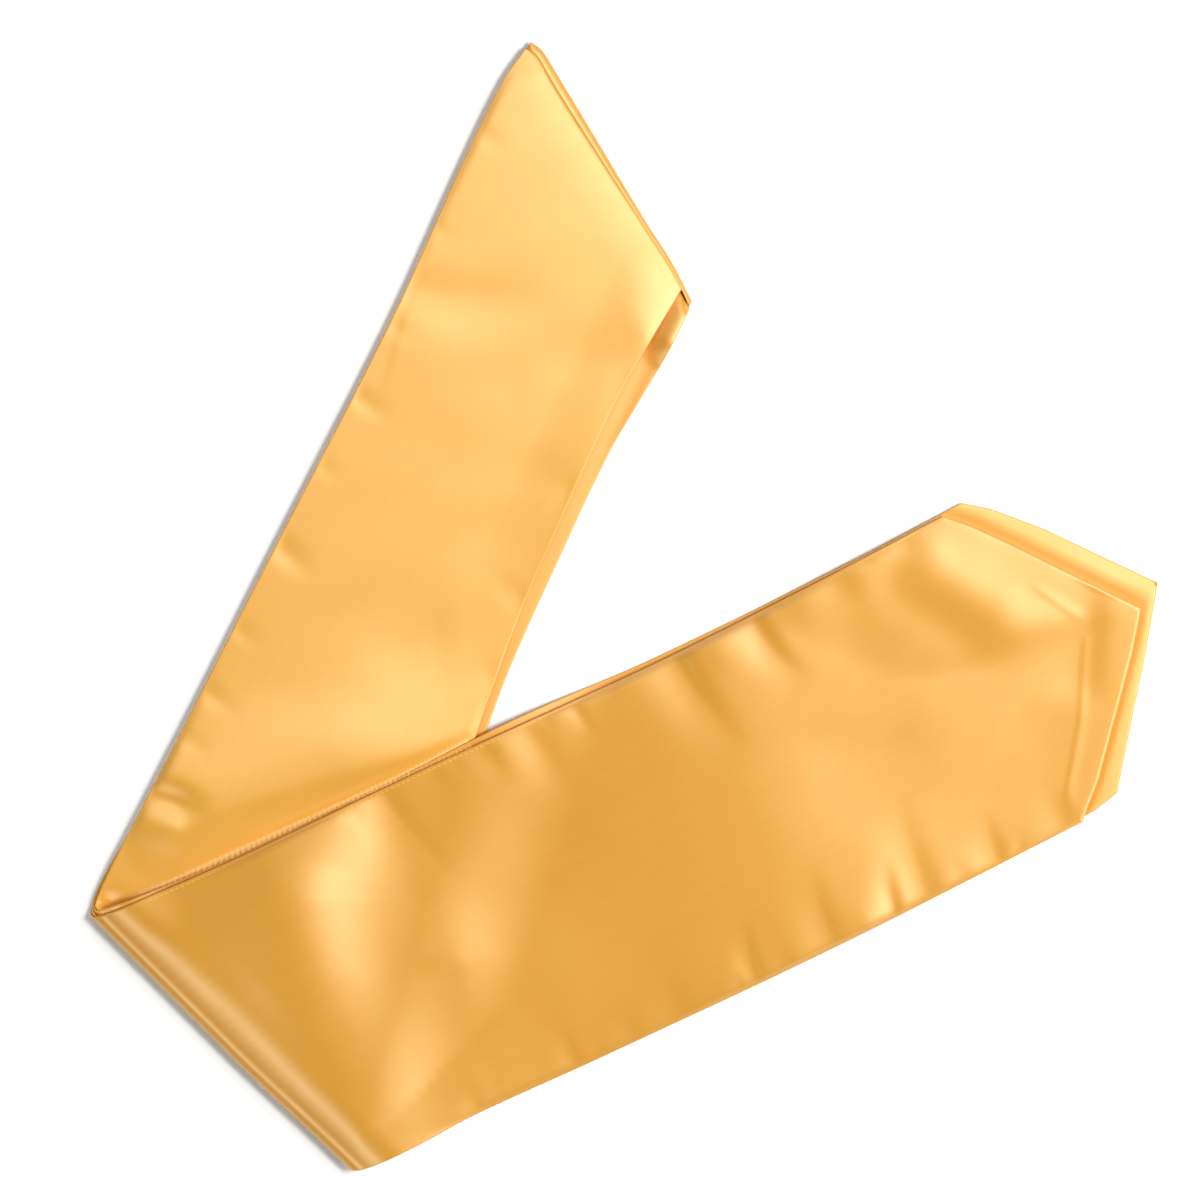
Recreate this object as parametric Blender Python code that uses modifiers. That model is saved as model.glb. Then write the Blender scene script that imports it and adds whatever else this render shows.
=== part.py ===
"""A plain satin graduation stole, folded at its neck seam and folded over once more, lying flat.

Two straps, each a face and a lining, are joined by a slanted seam at the centre back of the neck.
The right strap lies on the left one. Both are then turned back together over a slanted fold, so that
the left strap's face is on top in the front limb. Each panel is worked out flat, as along and across
distances on its strap, and then bent round the fold.
"""

import math
from collections import namedtuple

import bmesh
import bpy
from mathutils import Vector

# Lengths are in millimetres here and become metres where the meshes are made.
MM = 0.001

# Cloth
WALL = 1.0
SEAM_GAP = 0.3
JOIN_GAP = 0.5
STRAP_GAP = 0.6
STACK = 4 * WALL + 2 * SEAM_GAP + STRAP_GAP

# Each panel's middle, measured outwards from the face that is inside the fold
RIGHT_FACE_DEPTH = WALL / 2
RIGHT_LINING_DEPTH = RIGHT_FACE_DEPTH + WALL + SEAM_GAP
LEFT_LINING_DEPTH = RIGHT_LINING_DEPTH + WALL + STRAP_GAP
LEFT_FACE_DEPTH = LEFT_LINING_DEPTH + WALL + SEAM_GAP

# The fold: where its nose lies on the floor, which way it faces and how the strap leans to it
NOSE_CENTRE = Vector((-181.973, -197.802))
OUTWARD = Vector((-1.0, -1.0)).normalized()
FOLD_LINE = Vector((1.0, -1.0)).normalized()
LEAN = math.radians(18.8)
FOLD_ALONG = 465.65
FOLD_ACROSS = 73.4
FOLD_BEFORE = 16.0
FOLD_AFTER = 26.0

# Section of the fold: a tight nose, a rising back, a crest, and two slopes down to the floor
LOOP_RADIUS = 1.7
NOSE_RADIUS = LOOP_RADIUS + STACK
TURN_ANGLE = math.radians(165)
RISE_LENGTH = 18.0
REST_HEIGHT = STACK + 0.8
BACK_SLOPE_MIDDLE = 123.0
BACK_SLOPE_SHIFT = 0.46
BACK_SLOPE_HALF = 38.0
FRONT_LIMB_EDGE = -84.0
NECK_EDGE_BACK = 177.0
NECK_EDGE_AT = -16.0
NECK_EDGE_SLANT = 1.88
DRAPE_START = 3.0
DRAPE_LENGTH = 110.0
SLOPE_STEP = 0.5

# Towards its lower end the nose falls back a little from a straight line
NOSE_RECESS = 1.9
RECESS_START = 5.0
RECESS_END = 80.0
RECESS_REACH = 60.0

# The neck seam: the left face wraps up round it as a lip and meets the right face
SEAM_COSINE = 0.857
LIP_HEIGHT = LEFT_FACE_DEPTH - RIGHT_FACE_DEPTH
LIP_ROWS = 8
LINING_INSET = 3.2

# Fullness of the cloth that shows, falling off to its sewn edges, the seam and the tip
NECK_PUFF = 1.2
FRONT_PUFF = 1.6
RIM = 6.0
SEAM_RISE_START = 1.0
SEAM_RISE_END = 17.0
FRONT_RISE_START = 10.0
FRONT_RISE_END = 100.0
TIP_FALL = 150.0
TIP_SHARE = 0.35
TIP_CURL = 0.5
TIP_BORDER = 9.0

# Where the front limb lies on the neck limb: the line of its outer edge and how far off the cloth is flat
COVER_EDGE = -67.9
COVER_FROM = -28.5
COVER_RATE = 0.362
COVER_FLAT = 10.0
COVER_CLEAR = 34.0
NOSE_FLAT = -30.0
NOSE_CLEAR = -70.0

# The open neck corner, along from the neck seam and across from the outer edge
MOUTH_LIFT = 3.2
MOUTH_OPENING = 26.0
MOUTH_CLOSING = 120.0
MOUTH_CLOSED = 235.0
MOUTH_INSIDE = 78.0
MOUTH_EDGE = 108.0
RIM_CURL = 1.3
RIM_CURL_OPENING = 30.0
RIM_CURL_CLOSED = 180.0
RIM_CURL_INSIDE = 110.0
RIM_CURL_EDGE = 116.0

# Rows and columns of the panels
COLUMNS = 12
EDGE_COLUMNS = (0.015, 0.06)
DRAPE_ROWS = 290.0
ROW_ROUNDS = 8

Edge = namedtuple("Edge", "along across")
Shape = namedtuple("Shape", "across along")
Pucker = namedtuple("Pucker", "along across reach width depth slant")

# Outermost line of the neck seam, and how wide the lip on top of it is
SEAM_LINE = (
    Shape(0, -1.6),
    Shape(6, -0.4),
    Shape(16, 5.8),
    Shape(30, 14.7),
    Shape(48, 26.3),
    Shape(65, 37.3),
    Shape(83, 48.8),
    Shape(100, 59.1),
    Shape(116, 71.0),
)
LIP_WIDTH = (
    Shape(0, 3.4),
    Shape(14, 4.5),
    Shape(30, 4.4),
    Shape(58, 3.3),
    Shape(80, 2.3),
    Shape(116, 2.1),
)

LEFT_OUTER = (
    Edge(0, -0.5),
    Edge(20, -3.4),
    Edge(60, -3.4),
    Edge(140, -1.1),
    Edge(260, -3.0),
    Edge(340, -4.0),
    Edge(385, -4.8),
    Edge(425, -7.0),
    Edge(445, -4.8),
    Edge(466, -2.6),
    Edge(525, 0.0),
    Edge(610, 1.0),
    Edge(720, 4.2),
    Edge(800, 3.7),
    Edge(868, 1.9),
)
LEFT_INNER = (
    Edge(60, 116.0),
    Edge(92, 116.8),
    Edge(120, 114.8),
    Edge(150, 112.7),
    Edge(203, 113.6),
    Edge(253, 115.3),
    Edge(286, 118.5),
    Edge(340, 126.5),
    Edge(410, 139.2),
    Edge(455, 145.4),
    Edge(490, 147.6),
    Edge(506, 150.6),
    Edge(526, 151.5),
    Edge(558, 150.4),
    Edge(620, 152.2),
    Edge(740, 154.3),
    Edge(863, 152.8),
)
LEFT_TIP = (
    Shape(1.9, 868.0),
    Shape(11.8, 877.8),
    Shape(24.8, 888.2),
    Shape(78.4, 929.5),
    Shape(94.4, 917.2),
    Shape(139.4, 877.8),
    Shape(152.5, 863.4),
)
RIGHT_OUTER = (
    Edge(0, 0.0),
    Edge(20, -3.0),
    Edge(60, -3.0),
    Edge(140, -0.7),
    Edge(260, -2.6),
    Edge(340, -3.6),
    Edge(400, -4.8),
    Edge(460, -0.6),
    Edge(516, 1.8),
    Edge(577, 2.0),
    Edge(634, 1.4),
    Edge(662, 2.1),
    Edge(717, 4.7),
    Edge(820, 4.8),
    Edge(869, 3.0),
)
RIGHT_INNER = (
    Edge(60, 110.3),
    Edge(103, 106.8),
    Edge(133, 105.3),
    Edge(208, 107.6),
    Edge(234, 109.0),
    Edge(288, 115.0),
    Edge(340, 123.5),
    Edge(410, 137.0),
    Edge(455, 144.4),
    Edge(511, 151.6),
    Edge(611, 153.4),
    Edge(716, 155.2),
    Edge(800, 155.0),
    Edge(861, 153.6),
)
RIGHT_TIP = (
    Shape(3.0, 870.0),
    Shape(11.1, 880.6),
    Shape(28.9, 897.4),
    Shape(52.1, 915.8),
    Shape(74.1, 933.4),
    Shape(99.0, 915.4),
    Shape(120.8, 898.4),
    Shape(144.7, 880.0),
    Shape(151.0, 875.2),
    Shape(153.8, 862.0),
)

# Puckers run across the strap from the stitched edge that they start at. A negative reach runs outwards.
FRONT_PUCKERS = (
    Pucker(560, 1.5, 24, 7, 1.4, 0.1),
    Pucker(582, 1.5, 30, 7, 2.2, 0.0),
    Pucker(609, 1.5, 34, 8, 1.8, -0.1),
    Pucker(631, 1.5, 26, 6, 1.8, 0.1),
    Pucker(652, 1.5, 28, 7, 1.6, 0.0),
    Pucker(677, 3.0, 44, 8, 2.4, 0.1),
    Pucker(722, 4.5, 62, 11, 5.0, 0.0),
    Pucker(767, 4.5, 52, 10, 3.4, -0.1),
    Pucker(806, 4.2, 36, 8, 1.8, 0.1),
    Pucker(842, 3.5, 26, 7, 1.4, 0.0),
    Pucker(556, 152, -24, 7, 1.2, 0.1),
    Pucker(582, 152, -20, 6, 1.4, 0.0),
    Pucker(609, 152, -28, 7, 2.0, 0.2),
    Pucker(636, 152, -24, 6, 1.8, 0.0),
    Pucker(657, 152, -30, 6, 1.6, 0.2),
    Pucker(697, 153, -42, 8, 3.2, 0.3),
    Pucker(733, 154, -30, 8, 2.0, 0.1),
    Pucker(759, 154, -40, 7, 2.6, 0.2),
    Pucker(777, 154, -26, 6, 1.8, 0.0),
    Pucker(818, 154, -34, 8, 2.2, 0.2),
    Pucker(850, 153, -26, 7, 1.6, 0.0),
)
NECK_PUCKERS = (
    Pucker(44, -3, 16, 6, 0.8, 0.2),
    Pucker(112, -2, 74, 16, 0.9, -0.3),
    Pucker(137, -1, 16, 6, 0.8, 0.1),
    Pucker(173, -2, 22, 7, 1.0, 0.2),
    Pucker(210, -2, 14, 6, 0.6, 0.0),
    Pucker(250, -3, 26, 7, 1.2, 0.3),
    Pucker(292, -3, 18, 6, 0.8, 0.1),
    Pucker(323, -4, 22, 7, 1.0, 0.2),
    Pucker(347, -4, 16, 6, 0.8, 0.0),
    Pucker(373, -4, 26, 6, 1.6, 0.4),
    Pucker(170, 107, -20, 9, 0.8, 0.1),
    Pucker(226, 109, -26, 9, 1.0, -0.2),
    Pucker(262, 113, -18, 8, 0.8, 0.0),
)

# Each strap's turn is the length of cloth that goes round the nose
Strap = namedtuple("Strap", "outer inner tip tip_across turn")
LEFT_POINT = max(LEFT_TIP, key=lambda shape: shape.along)
RIGHT_POINT = max(RIGHT_TIP, key=lambda shape: shape.along)
LEFT_TURN = TURN_ANGLE * (LOOP_RADIUS + LEFT_FACE_DEPTH)
RIGHT_TURN = TURN_ANGLE * (LOOP_RADIUS + RIGHT_LINING_DEPTH)
LEFT = Strap(LEFT_OUTER, LEFT_INNER, LEFT_TIP, LEFT_POINT.across, LEFT_TURN)
RIGHT = Strap(RIGHT_OUTER, RIGHT_INNER, RIGHT_TIP, RIGHT_POINT.across, RIGHT_TURN)

GOLD = (0.93, 0.55, 0.15, 1.0)
LINING_GOLD = (0.95, 0.60, 0.20, 1.0)


def ramp(value, start, end):
    """Rises smoothly from 0 at start to 1 at end."""
    share = min(1.0, max(0.0, (value - start) / (end - start)))
    return share * share * (3 - 2 * share)


def curve_through(rows, at):
    """Second column of the rows where the first is at, on a smooth curve, level past both ends."""
    if at <= rows[0][0]:
        return rows[0][1]
    if at >= rows[-1][0]:
        return rows[-1][1]
    index = next(i for i, row in enumerate(rows) if row[0] > at) - 1
    (x0, y0), (x1, y1) = rows[index], rows[index + 1]
    span = x1 - x0
    slope0 = slope1 = (y1 - y0) / span
    if index > 0:
        slope0 = (y1 - rows[index - 1][1]) / (x1 - rows[index - 1][0])
    if index + 2 < len(rows):
        slope1 = (rows[index + 2][1] - y0) / (rows[index + 2][0] - x0)
    t = (at - x0) / span
    start = y0 * (1 + 2 * t) * (1 - t) ** 2 + slope0 * span * t * (1 - t) ** 2
    return start + y1 * t * t * (3 - 2 * t) + slope1 * span * t * t * (t - 1)


def straight_through(rows, at):
    """Second column of the rows where the first is at, on straight lines, level past both ends."""
    if at <= rows[0][0]:
        return rows[0][1]
    for (x0, y0), (x1, y1) in zip(rows, rows[1:]):
        if at <= x1:
            return y0 + (y1 - y0) * (at - x0) / (x1 - x0)
    return rows[-1][1]


def fold_plane(along, across):
    """Distance past the fold's nose line, and distance along that line, of a point on a flat strap."""
    a = along - FOLD_ALONG
    c = across - FOLD_ACROSS
    return a * math.cos(LEAN) - c * math.sin(LEAN), a * math.sin(LEAN) + c * math.cos(LEAN)


def top_height(back, sideways):
    """Height of the fold's inner face in the front limb, at a distance back from the nose."""
    start = NOSE_RADIUS - LOOP_RADIUS * math.sin(TURN_ANGLE)
    rising = math.tan(math.pi - TURN_ANGLE)
    x = min(max(back - start, 0.0), RISE_LENGTH)
    crest = NOSE_RADIUS - LOOP_RADIUS * math.cos(TURN_ANGLE) + rising * RISE_LENGTH / 2
    height = crest - rising * (RISE_LENGTH - x) ** 2 / (2 * RISE_LENGTH)
    middle = BACK_SLOPE_MIDDLE - BACK_SLOPE_SHIFT * (sideways - FRONT_LIMB_EDGE)
    height -= (crest - REST_HEIGHT) * ramp(back, middle - BACK_SLOPE_HALF, middle + BACK_SLOPE_HALF)
    neck_edge = NECK_EDGE_BACK - NECK_EDGE_SLANT * (sideways - NECK_EDGE_AT)
    drape = max(neck_edge, 0.0) + DRAPE_START
    return height - REST_HEIGHT * ramp(back, drape, drape + DRAPE_LENGTH)


def bend(along, across, depth, lift, turn):
    """Where a point of a flat strap lies once the strap is folded, in millimetres."""
    u, sideways = fold_plane(along, across)
    past = u + NOSE_RADIUS
    if past <= 0:
        outward, height, tilt = u, STACK - depth, 0.0
    elif past < turn:
        angle = TURN_ANGLE * past / turn
        radius = LOOP_RADIUS + depth
        outward = radius * math.sin(angle) - NOSE_RADIUS
        height = NOSE_RADIUS - radius * math.cos(angle)
    else:
        back = NOSE_RADIUS - LOOP_RADIUS * math.sin(TURN_ANGLE) + past - turn
        tilt = (top_height(back + SLOPE_STEP, sideways) - top_height(back, sideways)) / SLOPE_STEP
        outward = depth * tilt / math.hypot(tilt, 1) - back
        height = top_height(back, sideways) + depth / math.hypot(tilt, 1)
    outward -= NOSE_RECESS * ramp(sideways, RECESS_START, RECESS_END) * (1 - ramp(-outward, 0, RECESS_REACH))
    flat = NOSE_CENTRE + outward * OUTWARD + sideways * FOLD_LINE
    return Vector((flat.x, flat.y, height + lift))


def rim_share(strap, along, across):
    """0 at a strap's sewn edges and 1 a little way in."""
    inside = min(across - curve_through(strap.outer, along), curve_through(strap.inner, along) - across)
    share = min(1.0, max(0.0, inside / RIM))
    return 1 - (1 - share) ** 2


def pucker_depth(puckers, along, across):
    total = 0.0
    for pucker in puckers:
        share = (across - pucker.across) / pucker.reach
        if share < 1:
            middle = pucker.along + pucker.slant * (across - pucker.across)
            fade = math.cos(max(share, 0.0) * math.pi / 2) ** 2
            total += pucker.depth * fade * math.exp(-(((along - middle) / pucker.width) ** 2))
    return total


def puckered(fullness, depth):
    """Fullness less a pucker, never below the cloth underneath."""
    return fullness * fullness / (fullness + depth) if fullness > 0 else 0.0


def mouth_share(along, across):
    """How far open the straps are beside the inner neck corner."""
    past_seam = along - curve_through(SEAM_LINE, across)
    beside = ramp(past_seam, 0, MOUTH_OPENING) * (1 - ramp(along, MOUTH_CLOSING, MOUTH_CLOSED))
    return beside * ramp(across, MOUTH_INSIDE, MOUTH_EDGE)


def right_lift(along, across):
    """The right strap lifts beside the open neck corner, and curls where its tip shows past the left one."""
    to_tip = straight_through(RIGHT_TIP, across) - along
    return MOUTH_LIFT * mouth_share(along, across) + TIP_CURL * (1 - ramp(to_tip, 0, TIP_BORDER))


def right_face_lift(along, across):
    """Fullness of the right face in the neck limb, flat where the front limb lies on it."""
    u, sideways = fold_plane(along, across)
    to_cover = COVER_EDGE + COVER_RATE * (COVER_FROM - u) - sideways
    shown = ramp(to_cover, COVER_FLAT, COVER_CLEAR) * ramp(-u, -NOSE_FLAT, -NOSE_CLEAR)
    past_seam = along - curve_through(SEAM_LINE, across)
    fullness = NECK_PUFF * rim_share(RIGHT, along, across) * shown
    fullness *= ramp(past_seam, SEAM_RISE_START, SEAM_RISE_END)
    return right_lift(along, across) + puckered(fullness, pucker_depth(NECK_PUCKERS, along, across))


def left_lift(along, across):
    """The left strap's rim curls up beside the open neck corner."""
    past_seam = along - curve_through(SEAM_LINE, across)
    beside = ramp(past_seam, 0, RIM_CURL_OPENING) * (1 - ramp(along, MOUTH_CLOSING, RIM_CURL_CLOSED))
    return RIM_CURL * beside * ramp(across, RIM_CURL_INSIDE, RIM_CURL_EDGE)


def left_face_lift(along, across):
    """Fullness of the left face on top of the front limb, with its puckers, falling off to the tip."""
    past = fold_plane(along, across)[0] + NOSE_RADIUS - LEFT.turn
    to_tip = straight_through(LEFT_TIP, across) - along
    fullness = FRONT_PUFF * rim_share(LEFT, along, across) * ramp(past, FRONT_RISE_START, FRONT_RISE_END)
    fullness *= ramp(to_tip, 0, TIP_BORDER) * (TIP_SHARE + (1 - TIP_SHARE) * ramp(to_tip, 0, TIP_FALL))
    return left_lift(along, across) + puckered(fullness, pucker_depth(FRONT_PUCKERS, along, across))


def column_shares():
    """Where the columns lie across a strap, closer at its edges."""
    near, second = EDGE_COLUMNS
    inner = COLUMNS - 4
    middle = [second + (1 - 2 * second) * i / inner for i in range(inner + 1)]
    return [0.0, near] + middle + [1 - near, 1.0]


def face_start(across):
    """Where the right face begins, beside the lip."""
    lip = curve_through(LIP_WIDTH, across)
    return curve_through(SEAM_LINE, across) + (lip + JOIN_GAP / 2) / SEAM_COSINE


def inner_start(across):
    """Where the panels inside the neck seam begin, clear of the lip's bend."""
    return curve_through(SEAM_LINE, across) + LINING_INSET / SEAM_COSINE


def row_point(strap, share, start, middle):
    """Point of a row at a share of the width. Rows go from the seam's slant to the fold's and the tip's."""
    seam_middle = start(FOLD_ACROSS)
    tip_middle = straight_through(strap.tip, FOLD_ACROSS)
    loop_start = FOLD_ALONG - FOLD_BEFORE
    loop_end = FOLD_ALONG + FOLD_AFTER
    to_fold = min(1.0, (middle - seam_middle) / (loop_start - seam_middle))
    to_tip = max(0.0, (middle - loop_end) / (tip_middle - loop_end))
    along, across = middle, FOLD_ACROSS
    for _ in range(ROW_ROUNDS):
        low = curve_through(strap.outer, along)
        high = curve_through(strap.inner, along)
        across = low + (high - low) * share
        across += (strap.tip_across - (low + high) / 2) * 4 * share * (1 - share) * to_tip
        seam = start(across) - seam_middle
        fold = math.tan(LEAN) * (across - FOLD_ACROSS)
        tip = straight_through(strap.tip, across) - tip_middle
        along = middle + (1 - to_fold) * seam + to_fold * (1 - to_tip) * fold + to_tip * tip
    return along, across


def fold_rows(strap, count):
    """Middle lines of the rows that go round the nose."""
    return [
        FOLD_ALONG + (strap.turn * i / count - NOSE_RADIUS) / math.cos(LEAN) for i in range(count + 1)
    ]


def spaced(start, end, count):
    """Row positions from start up to, and without, end."""
    return [start + (end - start) * i / count for i in range(count)]


def panel_rows(strap, start, neck_count, fold_count, drape_count, tip_count):
    """Middle lines of all the rows of a panel, from the neck seam to the tip."""
    round_nose = fold_rows(strap, fold_count)
    seam = start(FOLD_ACROSS)
    tip = straight_through(strap.tip, FOLD_ACROSS)
    drape_end = FOLD_ALONG + DRAPE_ROWS
    neck = spaced(seam, round_nose[0], neck_count)
    drape = spaced(round_nose[-1], drape_end, drape_count)[1:]
    border = tip - TIP_BORDER
    return neck + round_nose + drape + spaced(drape_end, border, tip_count) + spaced(border, tip, 2) + [tip]


def lip_point(step, share):
    """Point of the left face's lip: step 0 meets the right face, the last step runs into the flat."""
    angle = math.pi / 2 - math.pi * step / LIP_ROWS
    low = curve_through(LEFT.outer, 0)
    high = curve_through(LEFT.inner, 0)
    across = low + (high - low) * share
    lip = curve_through(LIP_WIDTH, across)
    reach = lip - (WALL + JOIN_GAP) / 2 if angle > 0 else LIP_HEIGHT / 2
    inward = WALL / 2 + reach * (1 - math.cos(angle))
    along = curve_through(SEAM_LINE, across) + inward / SEAM_COSINE
    return along, across, LIP_HEIGHT / 2 * (1 + math.sin(angle))


def sheet_mesh(name, points):
    """An open grid of cloth through the points, one list for each row."""
    columns = len(points[0]) - 1
    rows = len(points) - 1
    grid = bmesh.new()
    bmesh.ops.create_grid(grid, x_segments=columns, y_segments=rows, size=1)
    for vert in grid.verts:
        column = round((vert.co.x + 1) / 2 * columns)
        row = round((vert.co.y + 1) / 2 * rows)
        vert.co = points[row][column] * MM
    mesh = bpy.data.meshes.new(name)
    grid.to_mesh(mesh)
    grid.free()
    mesh.shade_smooth()
    return mesh


def satin(name, colour, roughness):
    material = bpy.data.materials.new(name)
    material.use_nodes = True
    shader = material.node_tree.nodes["Principled BSDF"]
    shader.inputs["Base Color"].default_value = colour
    shader.inputs["Roughness"].default_value = roughness
    shader.inputs["Metallic"].default_value = 0.0
    material.diffuse_color = colour
    return material


def add_panel(collection, name, points, material):
    """A panel: the open sheet, thickened evenly to both sides."""
    panel = bpy.data.objects.new(name, sheet_mesh(name, points))
    panel.data.materials.append(material)
    wall = panel.modifiers.new("Cloth", "SOLIDIFY")
    wall.thickness = WALL * MM
    wall.offset = 0
    wall.use_rim = True
    collection.objects.link(panel)
    return panel


def bent_rows(strap, depth, lift, start, middles):
    """Folded points of a panel whose rows have these middle lines."""
    rows = []
    for middle in middles:
        flat = [row_point(strap, share, start, middle) for share in column_shares()]
        rows.append([bend(a, c, depth, lift(a, c), strap.turn) for a, c in flat])
    return rows


def right_face(collection, material):
    middles = panel_rows(RIGHT, face_start, 36, 12, 22, 5)
    points = bent_rows(RIGHT, RIGHT_FACE_DEPTH, right_face_lift, face_start, middles)
    return add_panel(collection, "right_strap_face", points, material)


def right_lining(collection, material):
    middles = panel_rows(RIGHT, inner_start, 12, 12, 22, 6)
    points = bent_rows(RIGHT, RIGHT_LINING_DEPTH, right_lift, inner_start, middles)
    return add_panel(collection, "right_strap_lining", points, material)


def left_lining(collection, material):
    middles = panel_rows(LEFT, inner_start, 12, 12, 22, 5)
    points = bent_rows(LEFT, LEFT_LINING_DEPTH, left_lift, inner_start, middles)
    return add_panel(collection, "left_strap_lining", points, material)


def left_face(collection, material):
    """The left face starts at the lip round the neck seam and has the front limb's puckers."""
    points = []
    for step in range(LIP_ROWS + 1):
        row = []
        for share in column_shares():
            along, across, lift = lip_point(step, share)
            row.append(bend(along, across, LEFT_FACE_DEPTH, lift, LEFT.turn))
        points.append(row)
    middles = panel_rows(LEFT, inner_start, 12, 12, 44, 18)
    points += bent_rows(LEFT, LEFT_FACE_DEPTH, left_face_lift, inner_start, middles)
    return add_panel(collection, "left_strap_face", points, material)


def main():
    for item in list(bpy.data.objects):
        bpy.data.objects.remove(item, do_unlink=True)
    collection = bpy.data.collections.new("graduation_stole")
    bpy.context.scene.collection.children.link(collection)
    face_satin = satin("gold_satin_face", GOLD, 0.38)
    lining_satin = satin("gold_satin_lining", LINING_GOLD, 0.45)
    right_face(collection, face_satin)
    right_lining(collection, lining_satin)
    left_lining(collection, lining_satin)
    left_face(collection, face_satin)


main()
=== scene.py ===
import math
from collections import namedtuple

import bpy
import numpy as np
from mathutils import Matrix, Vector


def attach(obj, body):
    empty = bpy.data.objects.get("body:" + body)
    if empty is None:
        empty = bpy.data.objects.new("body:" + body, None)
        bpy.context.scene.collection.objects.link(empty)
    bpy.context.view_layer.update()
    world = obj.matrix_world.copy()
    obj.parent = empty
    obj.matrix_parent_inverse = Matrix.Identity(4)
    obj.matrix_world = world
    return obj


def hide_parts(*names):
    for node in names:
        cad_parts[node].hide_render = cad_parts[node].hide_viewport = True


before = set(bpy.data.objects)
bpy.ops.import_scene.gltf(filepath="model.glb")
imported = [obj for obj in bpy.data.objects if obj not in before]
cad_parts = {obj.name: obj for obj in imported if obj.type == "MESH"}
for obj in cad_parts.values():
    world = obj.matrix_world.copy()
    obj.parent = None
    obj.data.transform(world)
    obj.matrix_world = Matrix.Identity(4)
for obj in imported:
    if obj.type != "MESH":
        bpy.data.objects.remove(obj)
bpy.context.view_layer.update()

mm = 0.001

# Layers of the folded straps in mm, measured outwards from the face that is inside the fold
wall = 1.0
seamGap = 0.3
strapGap = 0.6
stack = 4 * wall + 2 * seamGap + strapGap
clothThickness = 0.4
skin = clothThickness / 2
rightFaceDepth = skin
rightLiningDepth = 2 * wall + seamGap - skin
leftLiningDepth = 2 * wall + seamGap + strapGap + skin
leftFaceDepth = stack - skin
edgeOffset = 0.22  # from the seam to the cloth at a sewn edge
rimRoll = 0.4  # width over which a panel rounds down to its sewn edge

# The fold. Back is measured away from the nose, sideways along the fold line to the lower right.
noseCentre = np.array([-181.973, -197.802])
outwardWay = np.array([-1.0, -1.0]) / math.sqrt(2)
foldLineWay = np.array([1.0, -1.0]) / math.sqrt(2)
lean = math.radians(18.8)  # between the fold line and a row straight across the strap
foldAlong = 465.65
foldAcross = 73.4
foldBefore = 16.0
foldAfter = 26.0
loopRadius = 1.7
noseRadius = loopRadius + stack
turnAngle = math.radians(165)
riseLength = 18.0  # behind the loop the cloth still rises over this length
restHeight = stack + 0.8
backSlopeMiddle = 123.0
backSlopeShift = 0.46
backSlopeHalf = 38.0
frontLimbEdge = -84.0
neckEdgeBack = 177.0
neckEdgeAt = -16.0
neckEdgeSlant = 1.88
drapeStart = 3.0
drapeLength = 110.0
slopeStep = 0.5
noseRecess = 1.9  # the nose line is drawn in by this at its lower end
recessStart = 5.0
recessEnd = 80.0
recessReach = 60.0

# Neck seam and the open corner beside it
seamCosine = 0.857
lipHeight = leftFaceDepth - rightFaceDepth
liningInset = 3.2
tipCosine = 0.78  # of the angle between the tip's edges and a row straight across

# (across, along) of the neck seam's outermost line, and the lip's width on top of it
seamLine = (
    (0, -1.6), (6, -0.4), (16, 5.8), (30, 14.7), (48, 26.3), (65, 37.3), (83, 48.8), (100, 59.1),
    (116, 71.0),
)
lipWidth = ((0, 3.4), (14, 4.5), (30, 4.4), (58, 3.3), (80, 2.3), (116, 2.1))

# Each strap's two long edges as (along, across), and its tip as (across, along)
leftOuter = (
    (0, -0.5), (20, -3.4), (60, -3.4), (140, -1.1), (260, -3.0), (340, -4.0), (385, -4.8), (425, -7.0),
    (445, -4.8), (466, -2.6), (525, 0.0), (610, 1.0), (720, 4.2), (800, 3.7), (868, 1.9),
)
leftInner = (
    (60, 116.0), (92, 116.8), (120, 114.8), (150, 112.7), (203, 113.6), (253, 115.3), (286, 118.5),
    (340, 126.5), (410, 139.2), (455, 145.4), (490, 147.6), (506, 150.6), (526, 151.5), (558, 150.4),
    (620, 152.2), (740, 154.3), (863, 152.8),
)
leftTip = (
    (1.9, 868.0), (11.8, 877.8), (24.8, 888.2), (78.4, 929.5), (94.4, 917.2), (139.4, 877.8),
    (152.5, 863.4),
)
rightOuter = (
    (0, -0.7), (20, -3.7), (60, -3.7), (140, -1.4), (260, -3.3), (340, -4.3), (390, -5.2), (425, -5.6),
    (460, -1.6), (516, 1.8), (577, 2.0), (634, 1.4), (662, 2.1), (717, 4.7), (820, 4.8), (869, 3.0),
)
rightInner = (
    (60, 110.3), (103, 106.8), (133, 105.3), (208, 107.6), (234, 109.0), (288, 115.0), (340, 123.5),
    (410, 137.0), (455, 144.4), (511, 151.6), (611, 153.4), (716, 155.2), (800, 155.0), (861, 153.6),
)
rightTip = (
    (3.0, 870.0), (11.1, 880.6), (28.9, 897.4), (52.1, 915.8), (74.1, 933.4), (99.0, 915.4),
    (120.8, 898.4), (144.7, 880.0), (151.0, 875.2), (153.8, 862.0),
)

# Turn is how much of a strap goes round the fold, seamDepth where its two panels are sewn together
Strap = namedtuple("Strap", "outer inner tip tipAcross turn seamDepth")
leftTurn = turnAngle * (loopRadius + stack - wall / 2)
rightTurn = turnAngle * (loopRadius + 1.5 * wall + seamGap)
left = Strap(leftOuter, leftInner, leftTip, 78.4, leftTurn, stack - wall - seamGap / 2)
right = Strap(rightOuter, rightInner, rightTip, 74.1, rightTurn, wall + seamGap / 2)


# Rises smoothly from 0 at start to 1 at end
def ramp(value, start, end):
    share = np.clip((value - start) / (end - start), 0, 1)
    return share * share * (3 - 2 * share)


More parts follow.
